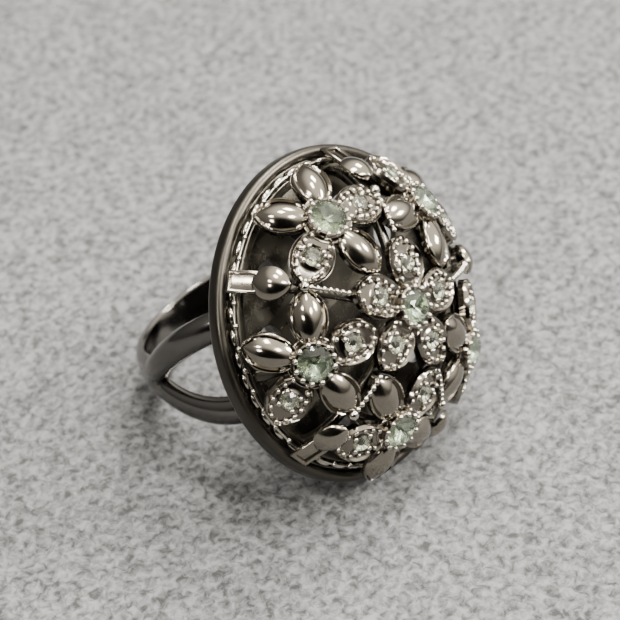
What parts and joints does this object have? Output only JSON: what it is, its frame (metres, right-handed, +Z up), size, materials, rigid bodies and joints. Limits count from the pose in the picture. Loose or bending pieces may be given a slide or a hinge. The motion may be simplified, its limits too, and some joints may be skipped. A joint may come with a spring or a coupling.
{
  "type": "cocktail ring",
  "caption": "Cocktail ring with an openwork dome of stone-set flowers, leaves and beaded wires over a pierced back plate, on a split band.",
  "frame": {"origin": "centre of the finger hole, with the ring lying on its rim and the side of its band", "axes": "+X across the head, -Y the way the dome faces along the table, +Z up from the table"},
  "size_m": [0.028, 0.0306, 0.0254],
  "materials": {
    "band_metal": "polished dark gunmetal plating",
    "inner_metal": "dark gunmetal plating, less polished inside the dome",
    "flower_metal": "polished gunmetal plating with a warm grey tone",
    "middle_stones": "clear faceted glass with a faint green tint, foil backed",
    "petal_stones": "clear faceted glass, foil backed"
  },
  "bodies": {
    "root": {"shank": "band_metal", "saddle": "band_metal", "back_plate": "inner_metal", "rim_band": "flower_metal", "rim_bars": "flower_metal", "rim_beads": "flower_metal", "dome_frame": "inner_metal", "apex_flower": "flower_metal", "apex_collet": "flower_metal", "apex_stone": "middle_stones", "apex_petal_stones": "petal_stones", "flower_1": "flower_metal", "flower_2": "flower_metal", "flower_3": "flower_metal", "flower_4": "flower_metal", "flower_5": "flower_metal", "collet_1": "flower_metal", "collet_2": "flower_metal", "collet_3": "flower_metal", "collet_4": "flower_metal", "collet_5": "flower_metal", "stone_1": "middle_stones", "stone_2": "middle_stones", "stone_3": "middle_stones", "stone_4": "middle_stones", "stone_5": "middle_stones", "petal_stones_1": "petal_stones", "petal_stones_2": "petal_stones", "petal_stones_3": "petal_stones", "petal_stones_4": "petal_stones", "petal_stones_5": "petal_stones", "leaf_1": "flower_metal", "leaf_2": "flower_metal", "leaf_3": "flower_metal", "leaf_4": "flower_metal", "leaf_5": "flower_metal", "beaded_wire_1": "flower_metal", "beaded_wire_2": "flower_metal", "beaded_wire_3": "flower_metal", "beaded_wire_4": "flower_metal", "beaded_wire_5": "flower_metal"}
  },
  "joints": []
}
